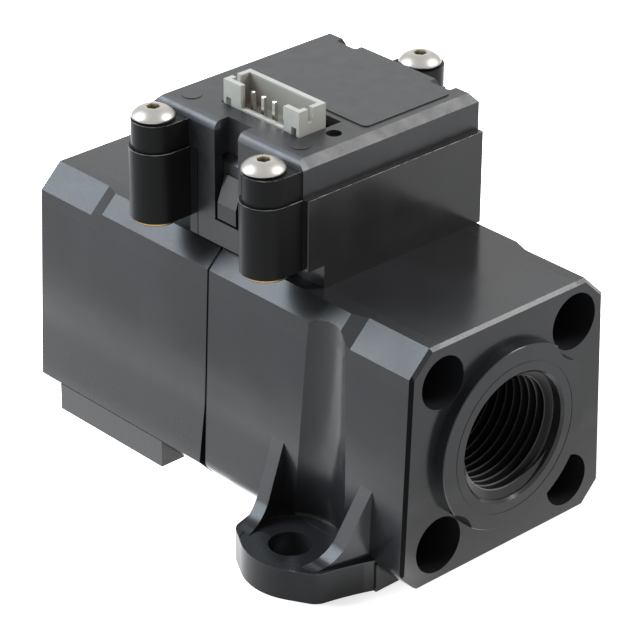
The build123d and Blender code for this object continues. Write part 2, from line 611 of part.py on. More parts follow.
for x in NOTCH_XS:
    notch = block(x - NOTCH_WIDTH / 2, x + NOTCH_WIDTH / 2, MODULE_Y - NOTCH_DEPTH, MODULE_Y + 2,
                  HOUSE_TOP - 1, COVER_TOP + 1)
    notch = fillet(notch.edges().filter_by(Axis.Z).group_by(Axis.Y)[0], NOTCH_ROUND)
    top_cover -= notch
top_cover -= block(header_x0 - HEADER_PLAY, header_x1 + OPENING_RIGHT, header_y0 - HEADER_PLAY, OPENING_BACK,
                   COVER_TOP - COVER_ROOF - 1, COVER_TOP + 1)
label = block(LABEL_X0, LABEL_X1, LABEL_Y0, LABEL_Y1, COVER_TOP - COVER_ROOF / 2, COVER_TOP + LABEL_HEIGHT)
top_cover += fillet(label.edges().filter_by(Axis.Z), LABEL_ROUND)
top_cover -= rod(*DIMPLE_PLACE, COVER_TOP - DIMPLE_DEEP, COVER_TOP + 1, DIMPLE_R)
for x in MARK_XS:
    top_cover += rod(x, MARK_Y, COVER_TOP - COVER_ROOF / 2, COVER_TOP + MARK_HEIGHT, MARK_R)
for x, side in boss_places:
    top_cover -= rod(x, side * BOSS_Y, HOUSE_TOP - 1, cover_seat + 1, SCREW_R + SCREW_PLAY)

# Cover screws and the brass inserts at the foot of the bosses
cover_screw = socket_screw(SCREW_R, COVER_SCREW, HEAD_R, HEAD_HIGH, HEX_WIDE, HEX_DEEP, BUTTON_DOME)
cover_screws = []
cover_inserts = []
for x, side in boss_places:
    y = side * BOSS_Y
    cover_screws.append(Pos(x, y, cover_seat) * cover_screw)
    insert = ring(x, y, FOOT_TOP, FOOT_TOP + INSERT_LONG, INSERT_R, SCREW_R)
    cover_inserts.append(insert + ring(x, y, FOOT_TOP - INSERT_RIM, FOOT_TOP, INSERT_RIM_R, SCREW_R))

nodes = {
    "outlet_body": outlet_body,
    "inlet_body": inlet_body,
    "body_seal": body_seal,
    "flow_restrictor": flow_restrictor,
    "inlet_screen_outer": inlet_screen_outer,
    "inlet_screen_inner": inlet_screen_inner,
    "screen_spacer": screen_spacer,
    "screen_retainer": screen_retainer,
    "tap_seal_upstream": tap_seals["upstream"],
    "tap_seal_downstream": tap_seals["downstream"],
    "tie_screws": Compound(children=tie_screws),
    "tie_inserts": Compound(children=tie_inserts),
    "sensor_housing": sensor_housing,
    "housing_screws": Compound(children=housing_screws),
    "bypass_block": bypass_block,
    "chip_gasket": chip_gasket,
    "flow_chip": flow_chip,
    "circuit_board": circuit_board,
    "amplifier_chip": amplifier_chip,
    "board_capacitors": Compound(children=board_capacitors),
    "header_housing": header_housing,
    "header_pins": Compound(children=header_pins),
    "top_cover": top_cover,
    "cover_screws": Compound(children=cover_screws),
    "cover_inserts": Compound(children=cover_inserts),
}
for name, shape in nodes.items():
    export_step(shape, "parts/" + name + ".step")
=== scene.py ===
import json
import math

import bpy
from mathutils import Matrix, Vector


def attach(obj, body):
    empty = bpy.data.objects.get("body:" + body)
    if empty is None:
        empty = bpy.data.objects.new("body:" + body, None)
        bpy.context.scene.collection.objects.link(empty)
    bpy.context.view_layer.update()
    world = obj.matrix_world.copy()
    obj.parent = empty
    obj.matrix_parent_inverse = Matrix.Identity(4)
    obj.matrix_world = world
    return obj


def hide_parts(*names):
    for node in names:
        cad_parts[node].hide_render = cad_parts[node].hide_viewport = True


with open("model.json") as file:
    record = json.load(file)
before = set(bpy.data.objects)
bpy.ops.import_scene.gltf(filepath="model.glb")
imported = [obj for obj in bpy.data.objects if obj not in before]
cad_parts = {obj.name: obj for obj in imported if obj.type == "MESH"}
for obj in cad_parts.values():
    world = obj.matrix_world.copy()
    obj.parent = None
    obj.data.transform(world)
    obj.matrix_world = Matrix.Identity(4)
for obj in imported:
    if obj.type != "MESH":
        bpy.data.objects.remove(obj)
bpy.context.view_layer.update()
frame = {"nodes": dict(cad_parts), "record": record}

MM = 0.001

# Sizes and places are in millimetres and angles in degrees, unless a name or a comment says
# otherwise. Colours are linear red, green and blue.

BORE_Z = 17.8

# Cover screws: the middles of the heads, then shank, head, dome and hexagon socket
SCREW_PLACES = [(-9.8, -18.28, 0.0), (10.75, -18.35, 0.0), (0.6, 18.12, 0.0)]
SEAT_Z = 51.05
SCREW_LENGTH = 12.0
SHANK_R = 1.5
TIP_R = 1.1
TIP_LENGTH = 0.4
HEAD_R = 2.8
HEAD_EDGE = ((0.45, 0.0), (0.16, 0.08), (0.03, 0.22), (0.0, 0.36))    # inward from HEAD_R, up
DOME_R = 3.3
DOME_FOOT = 0.46
DOME_TOP = 1.7
DOME_RINGS = 14
SOCKET_MOUTH_R = 1.12
SOCKET_ACROSS = 1.5
SOCKET_LEAD = 0.1
SOCKET_FLOOR = 0.6
SOCKET_POINT = 0.25
POINT_R = 0.05
SCREW_STEPS = 72
MOST_SCREW_TURN = 0.12                # radians
SCREW_SEED = 4

# Pins of the connector
PIN_X = -3.74
PIN_Y = -8.75
PIN_PITCH = 2.0
PIN_COUNT = 6
PIN_WIDE = 0.5
PIN_FOOT = 46.65
PIN_FOOT_TAPER = 0.3
PIN_TOP = 54.4
PIN_ROUND = 0.34
PIN_ROUND_RINGS = 7
PIN_LEAST_SHARE = 0.3
PIN_STEPS = 24
PIN_TIP_SHADE = 0.8

# Pipe thread in both ports, from its run-in behind the face to the bore
FACE_X = 36.8
THREAD_START_DEPTH = 1.03
THREAD_START_TURN = 325.0
THREAD_PITCH = 1.337
THREAD_TURNS = 8.4
THREAD_TURN_STEPS = 96
THREAD_ROOT_R = 8.62
THREAD_DEPTH = 1.13
THREAD_CREST = 0.1
THREAD_FLANK = 1.24
THREAD_RUN_OUT = 0.012                # share of the thread's length
THREAD_END_SHARE = 0.02

# Moulding flash: the edges that it follows, the spacing of its points and its seed
FLASH_SPACING = 0.14
FLASH_SEED = 2.5
BOSS_X = (-9.65, 11.05)
BOSS_MIDDLE_Y = -18.2
BOSS_EDGES = ((3.36, 47.3), (3.03, 51.02))    # radius, height
BOSS_TURNS = range(175, 364, 6)
BOSS_SIDE_Y = (-16.6, -15.3)
LEDGE_SIDE = [(15.24, y, 47.34) for y in (-15.0, -8.0, 0.0, 8.0, 15.0)]
LEDGE_FRONT = [(x, -15.06, 47.3) for x in (-13.2, -12.9)]

# Ears, half a turn apart. A place's way out to its ear is y on the outlet half, -y on the inlet.
EAR_HOLE_X = 20.5
EAR_HOLE_Y = 22.7
EAR_FLASH_Z = 4.36
EAR_SEAT_FLASH_Z = 4.26
EAR_SEAT_X = (15.4, 25.6)
EAR_NOSE_Y = -24.0
EAR_EDGE_IN = 0.08
NEAR_FLOOR = 0.03

# Places on the body that its finish follows
SIDE_DRAFT = 0.0349                   # slope of the sides
BELT_Z = 13.5
RIM_Y = 16.84
RIM_X = 34.87
SEAM_X = -1.35
CREST_OUTER_R = 7.62
CHANNEL_FOOT_Z = 4.42
CHANNEL_BACK_Y = -10.0
NOSE_Y = -19.0
NOSE_TOP = 4.2
NOSE_HOLE_R = 4.0

# Places on the module and the connector that their finishes follow
BOSS_Y = 15.2
HEADER_MIDDLE = (1.26, -7.95)
HEADER_INSIDE = (6.4, 1.8)
INSERT_UNDERSIDE_Z = (30.0, 37.36)

# Lamps: direction from the object, then distance, width and height in metres, level and colour
LAMPS = {
    "right_lamp": ((0.40, 0.60, 0.69), 0.62, 0.24, 0.24, 12.0, (1.0, 1.0, 1.0)),
    "left_lamp": ((-0.64, -0.475, 0.64), 0.62, 0.3, 0.4, 8.6, (0.8, 0.9, 1.0)),
    "low_left_lamp": ((-0.64, -0.75, 0.155), 0.62, 0.34, 0.23, 2.4, (0.9, 0.95, 1.0)),
    "back_lamp": ((-0.64, 0.60, 0.475), 0.9, 0.6, 0.6, 0.4, (1.0, 1.0, 1.0)),
}
LAMP_AIM = (0.0, 0.0, 0.025)          # metres
FLOOR_HALF = 2000.0
FLOOR_GREY = 0.6
FLOOR_GLOW = 0.67
FLOOR_HOLE_R = 3.5
WORLD_LIGHT = 0.32


def mesh_object(name, points, faces, smooth_angle=None, edges=()):
    """A mesh with points in millimetres, in place, shown in the scene."""
    mesh = bpy.data.meshes.new(name)
    mesh.from_pydata([(x * MM, y * MM, z * MM) for x, y, z in points], list(edges), faces)
    mesh.update()
    if smooth_angle is not None:
        smooth_by_angle(mesh, smooth_angle)
    return show(name, mesh)


def show(name, data):
    obj = bpy.data.objects.new(name, data)
    bpy.context.scene.collection.objects.link(obj)
    return obj


def smooth_by_angle(mesh, angle):
    mesh.polygons.foreach_set("use_smooth", [True] * len(mesh.polygons))
    mesh.set_sharp_from_angle(angle=math.radians(angle))


def polygon(sides, across):
    """The radius of a polygon's outline at each angle, for one ring of a turned piece."""
    def radius(turn):
        step = 2 * math.pi / sides
        return across / 2 / math.cos((turn + step / 2) % step - step / 2)
    return radius


def turned_piece(name, rings, steps, smooth_angle):
    """A closed turned shape. Each ring is (radius or a function of the angle, height)."""
    points = []
    for radius, z in rings:
        for k in range(steps):
            turn = 2 * math.pi * k / steps
            r = radius(turn) if callable(radius) else radius
            points.append((r * math.cos(turn), r * math.sin(turn), z))
    faces = []
    for ring in range(len(rings) - 1):
        low, high = ring * steps, (ring + 1) * steps
        for k in range(steps):
            after = (k + 1) % steps
            faces.append((low + k, low + after, high + after, high + k))
    faces.append(tuple(reversed(range(steps))))
    faces.append(tuple(range((len(rings) - 1) * steps, len(rings) * steps)))
    return mesh_object(name, points, faces, smooth_angle)


def mark(mesh, name, values):
    """Keeps a number for each point of a mesh, for its finish to read."""
    mesh.attributes.new(name, "FLOAT", "POINT").data.foreach_set("value", values)


def turn_faces_out(mesh):
    """Turns the faces over where the closed mesh is inside out."""
    volume = 0.0
    for face in mesh.polygons:
        corners = [mesh.vertices[k].co for k in face.vertices]
        for k in range(1, len(corners) - 1):
            volume += corners[0].dot(corners[k].cross(corners[k + 1]))
    if volume < 0:
        mesh.flip_normals()


def dress(piece, replaced=None):
    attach(piece, "root")
    if replaced:
        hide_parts(replaced)


class NodeMaker:
    """Adds nodes to a tree. A value is a number or the output of another node."""

    def __init__(self, tree):
        self.tree = tree

    def put(self, value, socket):
        if hasattr(value, "is_output"):
            self.tree.links.new(value, socket)
        else:
            socket.default_value = value

    def node(self, kind, settings=None, **inputs):
        """A node with its settings, and with its inputs by name, _ for a space."""
        made = self.tree.nodes.new(kind)
        for key, value in (settings or {}).items():
            setattr(made, key, value)
        for key, value in inputs.items():
            label = key.replace("_", " ")
            self.put(value, [s for s in made.inputs if s.enabled and s.name == label][0])
        return made

    def math(self, operation, *values):
        made = self.node("ShaderNodeMath", {"operation": operation})
        for value, socket in zip(values, made.inputs):
            self.put(value, socket)
        return made.outputs[0]

    def chain(self, operation, values):
        result = values[0]
        for value in values[1:]:
            result = self.math(operation, result, value)
        return result

    def product(self, *values):
        return self.chain("MULTIPLY", values)

    def largest(self, *values):
        return self.chain("MAXIMUM", values)

    def off(self, value, middle):
        """How far a value is from a middle, to either side."""
        return self.math("ABSOLUTE", self.math("SUBTRACT", value, middle))

    def ramp(self, value, low, high, to_low, to_high):
        return self.node("ShaderNodeMapRange", Value=value, From_Min=low, From_Max=high,
                         To_Min=to_low, To_Max=to_high).outputs["Result"]

    def seen_directly(self):
        """1 for rays that show the background: from the camera, in a gloss or through glass."""
        rays = self.node("ShaderNodeLightPath").outputs
        return self.largest(rays["Is Camera Ray"], rays["Is Glossy Ray"],
                            rays["Is Transmission Ray"])


class Tree(NodeMaker):
    """A Geometry Nodes tree that takes its sizes by name and ends in one material."""

    def __init__(self, name, sizes, material):
        super().__init__(bpy.data.node_groups.new(name, "GeometryNodeTree"))
        face = self.tree.interface
        face.new_socket("Geometry", in_out="INPUT", socket_type="NodeSocketGeometry")
        face.new_socket("Geometry", in_out="OUTPUT", socket_type="NodeSocketGeometry")
        for label, kind in sizes.items():
            face.new_socket(label, in_out="INPUT", socket_type="NodeSocket" + kind)
        self.sizes = self.node("NodeGroupInput")
        self.material = material

    def size(self, label):
        return self.sizes.outputs[label]

    def close(self, geometry):
        real = self.node("GeometryNodeRealizeInstances", Geometry=geometry)
        finish = self.node("GeometryNodeSetMaterial", Geometry=real.outputs["Geometry"],
                           Material=self.material)
        self.node("NodeGroupOutput", Geometry=finish.outputs["Geometry"])

    def grow(self, name, holder, sizes):
        """The tree's result on the holder as a plain mesh object; the holder is removed."""
        modifier = holder.modifiers.new(name, "NODES")
        modifier.node_group = self.tree
        for item in self.tree.interface.items_tree:
            if item.name in sizes:
                modifier[item.identifier] = sizes[item.name]
        bpy.context.view_layer.update()
        graph = bpy.context.evaluated_depsgraph_get()
        mesh = bpy.data.meshes.new_from_object(holder.evaluated_get(graph))
        mesh.name = name
        bpy.data.objects.remove(holder)
        return show(name, mesh)


class Finish(NodeMaker):
    """A material of nodes on its Principled shader, laid out by the place on the piece."""

    def __init__(self, name):
        self.material = bpy.data.materials.new(name)
        self.material.use_nodes = True
        super().__init__(self.material.node_tree)
        self.shader = self.tree.nodes["Principled BSDF"]
        self.place = self.node("ShaderNodeTexCoord").outputs["Object"]

    def set(self, **values):
        for key, value in values.items():
            self.shader.inputs[key.replace("_", " ")].default_value = value

    def feed(self, value, label):
        self.tree.links.new(value, self.shader.inputs[label])

    def split_place(self):
        """The place on the piece in millimetres, as three values."""
        parts = self.node("ShaderNodeSeparateXYZ", Vector=self.place).outputs
        return [self.math("MULTIPLY", parts[axis], 1 / MM) for axis in "XYZ"]

    def attribute(self, name):
        return self.node("ShaderNodeAttribute", {"attribute_name": name}).outputs["Fac"]

    def noise(self, scale, detail, stretch=(1, 1, 1)):
        mapping = self.node("ShaderNodeMapping", Vector=self.place, Scale=stretch)
        return self.node("ShaderNodeTexNoise", Vector=mapping.outputs["Vector"], Scale=scale,
                         Detail=detail, Roughness=0.55).outputs["Fac"]

    def blend(self, factor, first, second):
        """A colour between two, each of them a colour or a node's output."""
        made = self.node("ShaderNodeMix", {"data_type": "RGBA"})
        sockets = [s for s in made.inputs if s.enabled]
        self.put(factor, sockets[0])
        for socket, value in zip(sockets[1:], (first, second)):
            self.put(value if hasattr(value, "is_output") else (*value, 1), socket)
        return [s for s in made.outputs if s.enabled][0]

    def grain(self, scale, height):
        bump = self.node("ShaderNodeBump", Distance=height * MM, Height=self.noise(scale, 3))
        self.feed(bump.outputs["Normal"], "Normal")


# Finishes

def off_ear_hole(made, x, y):
    """Distance from the nearer ear's hole."""
    along = made.math("SUBTRACT", made.math("ABSOLUTE", x), EAR_HOLE_X)
    across = made.math("ADD", ear_way(made, x, y), EAR_HOLE_Y)
    square = made.math("ADD", made.product(along, along), made.product(across, across))
    return made.math("SQRT", square)


def ear_way(made, x, y):
    """The place across the body, counted so that both ears lie at negative values."""
    return made.product(y, made.math("SIGN", x))


def painted_low_sheen(made, flow, z):
    """A painted sheen: a paler belt low on the sides, broken up by the flow marks."""
    belt = made.ramp(made.off(z, BELT_Z), 0.3, 2.2, 1, 0)
    return made.product(belt, made.ramp(flow, 0.3, 0.6, 0.3, 1), 0.5)


def end_rim_shade(made, x, y, z):
    """Painted shade on the narrow strip where a side meets the end flange's face."""
    draft = made.product(made.math("SUBTRACT", z, BORE_Z), SIDE_DRAFT)
    wide = made.math("ADD", made.math("ABSOLUTE", y), draft)
    return made.product(made.math("GREATER_THAN", wide, RIM_Y),
                        made.math("GREATER_THAN", made.math("ABSOLUTE", x), RIM_X))


def channel_foot_shade(made, x, y, z):
    """Painted shade on the low part of the driver channel behind the ear's hole."""
    way = ear_way(made, x, y)
    behind = made.product(made.ramp(way, -21.5, -19.5, 0, 1),
                          made.math("LESS_THAN", way, CHANNEL_BACK_Y))
    off_hole = made.off(made.math("ABSOLUTE", x), EAR_HOLE_X)
    low = made.product(made.ramp(z, 6.0, 11.0, 0.8, 0),
                       made.math("GREATER_THAN", z, CHANNEL_FOOT_Z))
    return made.product(behind, made.ramp(off_hole, 5.6, 6.8, 1, 0), low)


def ear_nose_shade(made, x, y, z):
    """Painted shade on the ear's upright front, darker towards the end flange."""
    return made.product(made.math("LESS_THAN", ear_way(made, x, y), NOSE_Y),
                        made.math("LESS_THAN", z, NOSE_TOP),
                        made.math("GREATER_THAN", off_ear_hole(made, x, y), NOSE_HOLE_R),
                        made.ramp(made.math("ABSOLUTE", x), 13.0, 21.0, 0, 0.3))


def flow_body_plastic():
    """Glossy black moulding with bluish flow marks, a painted paler sheen low on the sides, painted
    highlight on the thread crests, and painted shade in the seam, on the end rims, in the ports, at
    the channel's foot and on the ear's front.
    """
    made = Finish("body_plastic")
    x, y, z = made.split_place()
    flow = made.noise(75, 4, (0.8, 0.8, 0.35))
    tone = made.blend(made.ramp(flow, 0.42, 0.7, 0, 1), (0.019, 0.0195, 0.021),
                      (0.028, 0.029, 0.032))
    # Painted sheen: a paler belt low on the sides.
    tone = made.blend(painted_low_sheen(made, flow, z), tone, (0.055, 0.056, 0.058))

    above = made.math("SUBTRACT", z, BORE_Z)
    off_bore = made.math("SQRT", made.math("ADD", made.product(y, y), made.product(above, above)))
    # Painted shade inside the ports, left off the thread crests.
    port_shade = made.product(made.ramp(off_bore, 8.4, 8.7, 0.8, 0),
                        made.ramp(made.math("ABSOLUTE", x), 34.9, 35.6, 1, 0))
    # Painted highlight on the lit side of the thread crests, painted shade on the far side.
    crest = made.product(made.math("LESS_THAN", off_bore, CREST_OUTER_R),
                         made.ramp(off_bore, 7.2, 7.4, 0, 1))
    lit_side = made.ramp(made.math("ADD", y, above), -9.0, -4.0, 1, 0)
    painted_crest_light = made.blend(lit_side, (0.018, 0.018, 0.019), (0.16, 0.16, 0.165))
    tone = made.blend(crest, tone, painted_crest_light)

    # Painted shade that widens the dark of the seam's groove.
    seam = made.ramp(made.off(x, SEAM_X), 0.12, 0.26, 1, 0)
    # Where painted shade darkens the moulding: the end rims, the seam, the ports off the crests,
    # the channel's foot and the ear's front.
    dark = made.largest(end_rim_shade(made, x, y, z), seam, made.math("SUBTRACT", port_shade, crest),
                        channel_foot_shade(made, x, y, z), ear_nose_shade(made, x, y, z))
    made.feed(made.blend(dark, tone, (0.013, 0.013, 0.013)), "Base Color")

    speckle = made.ramp(made.noise(4500, 1), 0.3, 0.7, 0.9, 1.1)
    made.feed(made.product(made.ramp(dark, 0, 1, 0.345, 0.02), speckle), "Specular IOR Level")
    top_chamfer = made.ramp(made.math("ADD", made.math("ABSOLUTE", y), z), 46.2, 46.5, 0, 0.08)
    gloss = made.ramp(made.noise(110, 4), 0.3, 0.7, 0.15, 0.24)
    made.feed(made.math("ADD", gloss, top_chamfer), "Roughness")
    made.grain(2600, 0.004)
    return made.material


def moulded_plastic(name, dark, light, roughness, specular, grain, grain_height, patch=140,
                    bosses=False):
    """Moulded plastic with faint patches of colour and gloss and a fine grain."""
    made = Finish(name)
    patches = made.noise(patch, 4)
    tone = made.blend(made.ramp(patches, 0.35, 0.7, 0, 1), dark, light)
    gloss = made.ramp(patches, 0.3, 0.7, roughness - 0.05, roughness + 0.06)
    if bosses:
        tone, gloss = module_marks(made, tone, gloss, specular)
    else:
        made.set(Specular_IOR_Level=specular)
    made.feed(tone, "Base Color")
    made.feed(gloss, "Roughness")
    made.grain(grain, grain_height)
    return made.material


def module_marks(made, tone, gloss, specular):
    """The module's dull bosses darkened by painted shade, a painted highlight on its front top
    edge, and pale moulding flash.
    """
    _, y, z = made.split_place()
    # Painted shade on the bosses, which also take a low specular level and more roughness.
    boss = made.math("GREATER_THAN", made.math("ABSOLUTE", y), BOSS_Y)
    tone = made.blend(boss, tone, (0.0095, 0.0095, 0.0095))
    # Painted highlight on the cover's front top round.
    painted_edge_highlight = made.product(made.ramp(y, -14.3, -13.9, 1, 0), made.ramp(z, 50.8, 51.1, 0, 1),
                          made.math("SUBTRACT", 1.0, boss))
    tone = made.blend(painted_edge_highlight, tone, (0.085, 0.09, 0.1))
    tone = made.blend(made.attribute("flash"), tone, (0.3, 0.3, 0.31))
    made.feed(made.ramp(boss, 0, 1, specular, 0.13), "Specular IOR Level")
    return tone, made.largest(gloss, made.product(boss, 0.42))


def header_plastic():
    """Off-white connector plastic, with painted shade that makes it greyer inside and brownish in
    the far low corner.
    """
    made = Finish("header_plastic")
    made.set(Specular_IOR_Level=0.4, Roughness=0.45)
    x, y, z = made.split_place()
    tone = made.blend(made.ramp(made.noise(300, 3), 0.35, 0.65, 0, 1), (0.52, 0.515, 0.465),
                      (0.58, 0.575, 0.525))
    # Painted shade inside the header.
    inside = made.product(
        made.math("LESS_THAN", made.off(x, HEADER_MIDDLE[0]), HEADER_INSIDE[0]),
        made.math("LESS_THAN", made.off(y, HEADER_MIDDLE[1]), HEADER_INSIDE[1]),
        made.ramp(z, 54.9, 55.2, 1, 0))
    tone = made.blend(made.product(inside, 0.6), tone, (0.3, 0.285, 0.25))
    # Painted shade, darker and brownish, in the far low corner inside the header.
    low = made.product(made.ramp(z, 50.8, 54.8, 1, 0), made.ramp(x, -5.4, -1.0, 1, 0.15))
    tone = made.blend(made.product(inside, low, 0.8), tone, (0.22, 0.16, 0.1))
    made.feed(tone, "Base Color")
    made.grain(1800, 0.004)
    return made.material


def metal(name, colour, roughness, grain_height=0.002, dark=None):
    """Plain metal; where the piece's own mark of painted shade is 1 it takes the dark colour of
    that shade.
    """
    made = Finish(name)
    made.set(Metallic=1.0, Roughness=roughness)
    if dark:
        made.feed(made.blend(made.attribute("painted_shade"), colour, dark), "Base Color")
    else:
        made.set(Base_Color=(*colour, 1))
    made.grain(3000, grain_height)
    return made.material


def insert_brass():
    """Brass, with painted shade that makes it dull and dark on the underside of the cover's
    inserts.
    """
    made = Finish("brass")
    made.set(Metallic=1.0, Roughness=0.45)
    _, _, z = made.split_place()
    # Painted shade on the underside of the cover's inserts.
    under = made.product(made.math("GREATER_THAN", z, INSERT_UNDERSIDE_Z[0]),
                         made.math("LESS_THAN", z, INSERT_UNDERSIDE_Z[1]))
    made.feed(made.blend(under, (0.5, 0.33, 0.13), (0.03, 0.025, 0.02)), "Base Color")
    return made.material


# Dark and light tone, roughness, specular level, scale of the grain and its height
PLASTICS = {
    "housing_plastic": ((0.02, 0.02, 0.021), (0.027, 0.027, 0.028), 0.2, 0.38, 2600, 0.003),
    "cover_plastic": ((0.018, 0.0185, 0.02), (0.025, 0.026, 0.028), 0.38, 0.5, 3200, 0.010),
    "inner_plastic": ((0.55, 0.55, 0.52), (0.62, 0.62, 0.59), 0.5, 0.4, 1800, 0.006),
    "rubber_seal": ((0.02, 0.02, 0.02), (0.028, 0.028, 0.028), 0.7, 0.4, 2600, 0.01),
    "board_black": ((0.012, 0.013, 0.013), (0.02, 0.022, 0.021), 0.45, 0.3, 1200, 0.008),
    "chip_black": ((0.02, 0.02, 0.02), (0.028, 0.028, 0.028), 0.6, 0.3, 2600, 0.01),
    "sensor_silicon": ((0.1, 0.11, 0.13), (0.14, 0.15, 0.18), 0.2, 0.5, 2600, 0.002),
    "capacitor_ceramic": ((0.42, 0.3, 0.18), (0.5, 0.36, 0.22), 0.5, 0.4, 1800, 0.01),
}
MODULE_PATCHES = {"housing_plastic": 140, "cover_plastic": 500}

# Colour and roughness, then where the metal has a grain of its own and a dark colour for painted
# shade, those too
METALS = {
    "stainless": ((0.43, 0.415, 0.385), 0.36, 0.003, (0.3, 0.27, 0.2)),
    "tie_steel": ((0.05, 0.05, 0.055), 0.35),
    "screen_steel": ((0.5, 0.5, 0.5), 0.3),
    "pin_metal": ((0.6, 0.58, 0.54), 0.25, 0.002, (0.75, 0.3, 0.14)),
}

finishes = {"body_plastic": flow_body_plastic(), "header_plastic": header_plastic(),
            "brass": insert_brass()}
for name, values in PLASTICS.items():
    finishes[name] = moulded_plastic(name, *values, patch=MODULE_PATCHES.get(name, 140),
                                     bosses=name in MODULE_PATCHES)
for name, values in METALS.items():
    finishes[name] = metal(name, *values)
for part in frame["record"]["subparts"]:
    node = frame["nodes"][part["node"]]
    node.data.materials.clear()
    node.data.materials.append(finishes[part["material_slot"]])


# Button head screws with hexagon sockets, set on their seats at slightly different turns

def dome_height(lean):
    return DOME_TOP - DOME_R * (1 - math.cos(lean))


def screw_rings():
    """A screw's outline from its tip to the socket's floor, and the rings before the socket."""
    rings = [(POINT_R, -SCREW_LENGTH), (TIP_R, -SCREW_LENGTH),
             (SHANK_R, -SCREW_LENGTH + TIP_LENGTH), (SHANK_R, 0.0)]
    rings += [(HEAD_R - inward, z) for inward, z in HEAD_EDGE]
    first = math.asin((HEAD_R - 0.01) / DOME_R)
    last = math.asin(SOCKET_MOUTH_R / DOME_R)
    lift = DOME_FOOT - dome_height(first)
    for k in range(DOME_RINGS):
        share = k / (DOME_RINGS - 1)
        lean = first + (last - first) * share
        rings.append((DOME_R * math.sin(lean), dome_height(lean) + lift * (1 - share)))
    before_socket = len(rings)
    rim = dome_height(last)
    rings.append((polygon(6, SOCKET_ACROSS + SOCKET_LEAD), rim))
    rings.append((polygon(6, SOCKET_ACROSS), rim - 0.08))
    rings.append((polygon(6, SOCKET_ACROSS), SOCKET_FLOOR))
    rings.append((POINT_R, SOCKET_FLOOR - SOCKET_POINT))
    return rings, before_socket


def button_head_screws():
    rings, before_socket = screw_rings()
    screw = turned_piece("button_screw", rings, SCREW_STEPS, 40)
    # Painted shade inside the hexagon socket.
    shade = [0.0] * before_socket + [0.35] + [1.0] * (len(rings) - before_socket - 1)
    mark(screw.data, "painted_shade", [painted_shade for painted_shade in shade for _ in range(SCREW_STEPS)])

    tree = Tree("button_head_screws", {"Screw": "Object", "Seat height": "Float",
                                       "Most turn": "Float", "Seed": "Int"},
                finishes["stainless"])
    lift = tree.node("ShaderNodeCombineXYZ", Z=tree.size("Seat height"))
    seats = tree.node("GeometryNodeSetPosition", Geometry=tree.size("Geometry"),
                      Offset=lift.outputs[0])
    most = tree.size("Most turn")
    turn = tree.node("FunctionNodeRandomValue", {"data_type": "FLOAT"},
                     Min=tree.math("MULTIPLY", most, -1.0), Max=most, Seed=tree.size("Seed"))
    turn_value = [s for s in turn.outputs if s.enabled][0]
    rotation = tree.node("ShaderNodeCombineXYZ", Z=turn_value)
    item = tree.node("GeometryNodeObjectInfo", Object=tree.size("Screw"))
    stand = tree.node("GeometryNodeInstanceOnPoints", Points=seats.outputs[0],
                      Instance=item.outputs["Geometry"], Rotation=rotation.outputs[0])
    tree.close(stand.outputs[0])

    holder = mesh_object("screw_seats", SCREW_PLACES, [])
    made = tree.grow("button_head_screws", holder, {
        "Screw": screw, "Seat height": SEAT_Z * MM, "Most turn": MOST_SCREW_TURN,
        "Seed": SCREW_SEED})
    bpy.data.objects.remove(screw)
    dress(made, "cover_screws")


# Connector pins: square, with rounded tips that carry a copper-coloured painted shade on one side

def pin_rings():
    straight_top = PIN_TOP - PIN_ROUND
    rings = [(polygon(4, PIN_WIDE * 0.5), PIN_FOOT),
             (polygon(4, PIN_WIDE), PIN_FOOT + PIN_FOOT_TAPER),
             (polygon(4, PIN_WIDE), straight_top)]
    for k in range(1, PIN_ROUND_RINGS):
        lean = math.pi / 2 * k / PIN_ROUND_RINGS
        share = PIN_LEAST_SHARE + (1 - PIN_LEAST_SHARE) * math.cos(lean)
        rings.append((polygon(4, PIN_WIDE * share), straight_top + PIN_ROUND * math.sin(lean)))
    return rings


def connector_pins():
    rings = pin_rings()
    pin = turned_piece("pin", rings, PIN_STEPS, 50)
    plain = [0.0] * (PIN_STEPS * (len(rings) - 2))
    # Painted shade, copper-coloured, on one side of the rounded tip.
    tip = [PIN_TIP_SHADE if 2 <= k <= 9 else 0.0 for k in range(PIN_STEPS)]
    mark(pin.data, "painted_shade", plain + tip + tip)

    tree = Tree("connector_pins", {"Pin": "Object", "Pitch": "Float", "Count": "Int"},
                finishes["pin_metal"])
    step = tree.node("ShaderNodeCombineXYZ", X=tree.size("Pitch"))
    row = tree.node("GeometryNodeMeshLine", {"mode": "OFFSET"}, Count=tree.size("Count"),
                    Offset=step.outputs[0])
    rows = tree.node("GeometryNodeInstanceOnPoints", Points=tree.size("Geometry"),
                     Instance=row.outputs["Mesh"])
    places = tree.node("GeometryNodeRealizeInstances", Geometry=rows.outputs[0])
    item = tree.node("GeometryNodeObjectInfo", Object=tree.size("Pin"))
    stand = tree.node("GeometryNodeInstanceOnPoints", Points=places.outputs[0],
                      Instance=item.outputs["Geometry"])
    tree.close(stand.outputs[0])

    holder = mesh_object("first_pin", [(PIN_X, PIN_Y, 0)], [])
    made = tree.grow("connector_pins", holder, {"Pin": pin, "Pitch": PIN_PITCH * MM,
                                                "Count": PIN_COUNT})
    bpy.data.objects.remove(pin)
    dress(made, "header_pins")


# Pipe thread: a ridge with a thin crest that follows a right-hand helix and runs out at both ends

